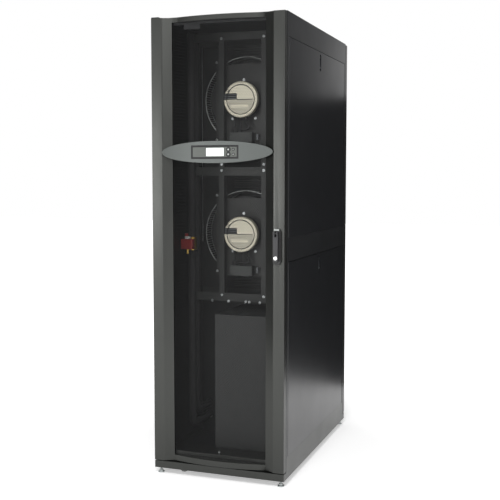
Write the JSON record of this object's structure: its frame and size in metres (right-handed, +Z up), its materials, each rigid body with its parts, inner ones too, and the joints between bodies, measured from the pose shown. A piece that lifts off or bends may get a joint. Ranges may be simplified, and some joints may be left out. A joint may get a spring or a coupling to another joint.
{
  "type": "in row cooling unit",
  "caption": "Floor-standing row cooler: bowed perforated front door with an oval display, swing handle, side panels, plug fans, coil, casters and levelling feet.",
  "frame": {"origin": "on the floor, in the middle of the footprint", "axes": "X to the right seen from the front door, Y from the front door to the rear door, Z up"},
  "size_m": [0.6, 1.126, 1.991],
  "materials": {
    "frame_paint": "satin",
    "door_paint": "fine texture",
    "panel_paint": "satin",
    "perforated_steel": "satin",
    "galvanised_steel": "dull",
    "inner_steel": "satin",
    "motor_alloy": "die-cast",
    "fan_blade": "matt",
    "guard_wire": "satin",
    "box_plastic": "moulded",
    "cable_rubber": "matt",
    "coil_fin": "mill",
    "filter_media": "pleated",
    "pipe_foam": "matt",
    "brass": "cast",
    "actuator_plastic": "moulded",
    "bezel_plastic": "fine texture",
    "keypad_panel": "polished",
    "lcd": "clear",
    "key_plastic": "moulded",
    "handle_plastic": "fine texture",
    "lever_plastic": "fine texture",
    "lock_chrome": "polished",
    "latch_plastic": "moulded",
    "caster_steel": "zinc",
    "caster_tread": "solid",
    "foot_steel": "zinc"
  },
  "bodies": {
    "cabinet": {"base_frame": "frame_paint", "top_frame": "frame_paint", "roof_panel": "frame_paint", "upright_frame": "frame_paint", "duct_liners": "inner_steel", "fan_bulkhead": "inner_steel", "fan_frame": "inner_steel", "fan_brackets": "inner_steel", "fan_motors": "motor_alloy", "junction_boxes": "box_plastic", "motor_cables": "cable_rubber", "inlet_rings": "galvanised_steel", "fan_cages": "guard_wire", "electrical_box": "inner_steel", "electrical_box_cover": "inner_steel", "cooling_coil": "coil_fin", "drain_pan": "galvanised_steel", "air_filters": "filter_media", "pipework": "pipe_foam", "control_valve": "brass", "valve_actuator": "actuator_plastic", "rear_caster_forks": "caster_steel"},
    "front_door": {"front_door_frame": "door_paint", "front_door_mesh": "perforated_steel", "display_bezel": "bezel_plastic", "display_panel": "keypad_panel", "display_screen": "lcd", "front_handle_base": "handle_plastic"},
    "front_spindle": {"front_handle_spindle": "lock_chrome"},
    "front_lever": {"front_handle_lever": "lever_plastic", "front_handle_lock": "lock_chrome"},
    "rear_door": {"rear_door_frame": "door_paint", "rear_door_mesh": "perforated_steel", "rear_handle_base": "handle_plastic"},
    "rear_spindle": {"rear_handle_spindle": "lock_chrome"},
    "rear_lever": {"rear_handle_lever": "lever_plastic"},
    "upper_fan": {"upper_impeller": "fan_blade"},
    "lower_fan": {"lower_impeller": "fan_blade"},
    "front_left_fork": {"front_left_caster_fork": "caster_steel"},
    "front_left_wheel": {"front_left_caster_wheel": "caster_tread"},
    "front_right_fork": {"front_right_caster_fork": "caster_steel"},
    "front_right_wheel": {"front_right_caster_wheel": "caster_tread"},
    "rear_left_wheel": {"rear_left_caster_wheel": "caster_tread"},
    "rear_right_wheel": {"rear_right_caster_wheel": "caster_tread"},
    "front_left_foot": {"front_left_foot": "foot_steel"},
    "front_right_foot": {"front_right_foot": "foot_steel"},
    "rear_left_foot": {"rear_left_foot": "foot_steel"},
    "rear_right_foot": {"rear_right_foot": "foot_steel"},
    "upper_left_panel": {"upper_left_panel": "panel_paint"},
    "upper_left_latch": {"upper_left_latch": "latch_plastic"},
    "upper_right_panel": {"upper_right_panel": "panel_paint"},
    "upper_right_latch": {"upper_right_latch": "latch_plastic"},
    "lower_left_panel": {"lower_left_panel": "panel_paint"},
    "lower_left_latch": {"lower_left_latch": "latch_plastic"},
    "lower_right_panel": {"lower_right_panel": "panel_paint"},
    "lower_right_latch": {"lower_right_latch": "latch_plastic"},
    "up_key": {"up_key": "key_plastic"},
    "down_key": {"down_key": "key_plastic"},
    "enter_key": {"enter_key": "key_plastic"},
    "escape_key": {"escape_key": "key_plastic"}
  },
  "joints": [
    {"name": "front_door_hinge", "type": "hinge", "parent": "cabinet", "child": "front_door", "pos_m": [-0.291, -0.516, 1], "axis": [0, 0, -1], "range_deg": [0, 120]},
    {"name": "rear_door_hinge", "type": "hinge", "parent": "cabinet", "child": "rear_door", "pos_m": [-0.291, 0.516, 1], "axis": [0, 0, 1], "range_deg": [0, 120]},
    {"name": "front_handle_turn", "type": "hinge", "parent": "front_door", "child": "front_spindle", "pos_m": [0.269, -0.535, 1.08], "axis": [0, 1, 0], "range_deg": [0, 90]},
    {"name": "front_handle_lift", "type": "hinge", "parent": "front_spindle", "child": "front_lever", "pos_m": [0.269, -0.553, 1.08], "axis": [-1, 0, 0], "range_deg": [0, 40]},
    {"name": "rear_handle_turn", "type": "hinge", "parent": "rear_door", "child": "rear_spindle", "pos_m": [0.269, 0.535, 1.08], "axis": [0, 1, 0], "range_deg": [0, 90]},
    {"name": "rear_handle_lift", "type": "hinge", "parent": "rear_spindle", "child": "rear_lever", "pos_m": [0.269, 0.553, 1.08], "axis": [1, 0, 0], "range_deg": [0, 40]},
    {"name": "upper_fan_spin", "type": "hinge", "parent": "cabinet", "child": "upper_fan", "pos_m": [0, -0.127, 1.66], "axis": [0, 1, 0], "continuous": true},
    {"name": "lower_fan_spin", "type": "hinge", "parent": "cabinet", "child": "lower_fan", "pos_m": [0, -0.127, 1.052], "axis": [0, 1, 0], "continuous": true},
    {"name": "front_left_swivel", "type": "hinge", "parent": "cabinet", "child": "front_left_fork", "pos_m": [-0.205, -0.4695, 0.092], "axis": [0, 0, 1], "continuous": true},
    {"name": "front_left_roll", "type": "hinge", "parent": "front_left_fork", "child": "front_left_wheel", "pos_m": [-0.18333, -0.47332, 0.027], "axis": [-0.1736, -0.9848, 0], "continuous": true},
    {"name": "front_right_swivel", "type": "hinge", "parent": "cabinet", "child": "front_right_fork", "pos_m": [0.205, -0.4695, 0.092], "axis": [0, 0, 1], "continuous": true},
    {"name": "front_right_roll", "type": "hinge", "parent": "front_right_fork", "child": "front_right_wheel", "pos_m": [0.20308, -0.44758, 0.027], "axis": [0.9962, 0.0872, 0], "continuous": true},
    {"name": "rear_left_roll", "type": "hinge", "parent": "cabinet", "child": "rear_left_wheel", "pos_m": [-0.205, 0.4475, 0.027], "axis": [-1, 0, 0], "continuous": true},
    {"name": "rear_right_roll", "type": "hinge", "parent": "cabinet", "child": "rear_right_wheel", "pos_m": [0.205, 0.4475, 0.027], "axis": [-1, 0, 0], "continuous": true},
    {"name": "front_left_foot_screw", "type": "slide", "parent": "cabinet", "child": "front_left_foot", "axis": [0, 0, 1], "range_m": [-0.015, 0]},
    {"name": "front_right_foot_screw", "type": "slide", "parent": "cabinet", "child": "front_right_foot", "axis": [0, 0, 1], "range_m": [-0.015, 0]},
    {"name": "rear_left_foot_screw", "type": "slide", "parent": "cabinet", "child": "rear_left_foot", "axis": [0, 0, 1], "range_m": [-0.015, 0]},
    {"name": "rear_right_foot_screw", "type": "slide", "parent": "cabinet", "child": "rear_right_foot", "axis": [0, 0, 1], "range_m": [-0.015, 0]},
    {"name": "upper_left_panel_lift_off", "type": "slide", "parent": "cabinet", "child": "upper_left_panel", "axis": [-1, 0, 0], "range_m": [0, 0.12]},
    {"name": "upper_left_latch_slide", "type": "slide", "parent": "upper_left_panel", "child": "upper_left_latch", "axis": [0, 0, -1], "range_m": [0, 0.008], "stiffness_N_per_m": 500, "springref_m": -0.004},
    {"name": "upper_right_panel_lift_off", "type": "slide", "parent": "cabinet", "child": "upper_right_panel", "axis": [1, 0, 0], "range_m": [0, 0.12]},
    {"name": "upper_right_latch_slide", "type": "slide", "parent": "upper_right_panel", "child": "upper_right_latch", "axis": [0, 0, -1], "range_m": [0, 0.008], "stiffness_N_per_m": 500, "springref_m": -0.004},
    {"name": "lower_left_panel_lift_off", "type": "slide", "parent": "cabinet", "child": "lower_left_panel", "axis": [-1, 0, 0], "range_m": [0, 0.12]},
    {"name": "lower_left_latch_slide", "type": "slide", "parent": "lower_left_panel", "child": "lower_left_latch", "axis": [0, 0, -1], "range_m": [0, 0.008], "stiffness_N_per_m": 500, "springref_m": -0.004},
    {"name": "lower_right_panel_lift_off", "type": "slide", "parent": "cabinet", "child": "lower_right_panel", "axis": [1, 0, 0], "range_m": [0, 0.12]},
    {"name": "lower_right_latch_slide", "type": "slide", "parent": "lower_right_panel", "child": "lower_right_latch", "axis": [0, 0, -1], "range_m": [0, 0.008], "stiffness_N_per_m": 500, "springref_m": -0.004},
    {"name": "up_key_press", "type": "slide", "parent": "front_door", "child": "up_key", "axis": [0, 1, 0], "range_m": [0, 0.001], "stiffness_N_per_m": 2000, "springref_m": -0.0005},
    {"name": "down_key_press", "type": "slide", "parent": "front_door", "child": "down_key", "axis": [0, 1, 0], "range_m": [0, 0.001], "stiffness_N_per_m": 2000, "springref_m": -0.0005},
    {"name": "enter_key_press", "type": "slide", "parent": "front_door", "child": "enter_key", "axis": [0, 1, 0], "range_m": [0, 0.001], "stiffness_N_per_m": 2000, "springref_m": -0.0005},
    {"name": "escape_key_press", "type": "slide", "parent": "front_door", "child": "escape_key", "axis": [0, 1, 0], "range_m": [0, 0.001], "stiffness_N_per_m": 2000, "springref_m": -0.0005}
  ]
}
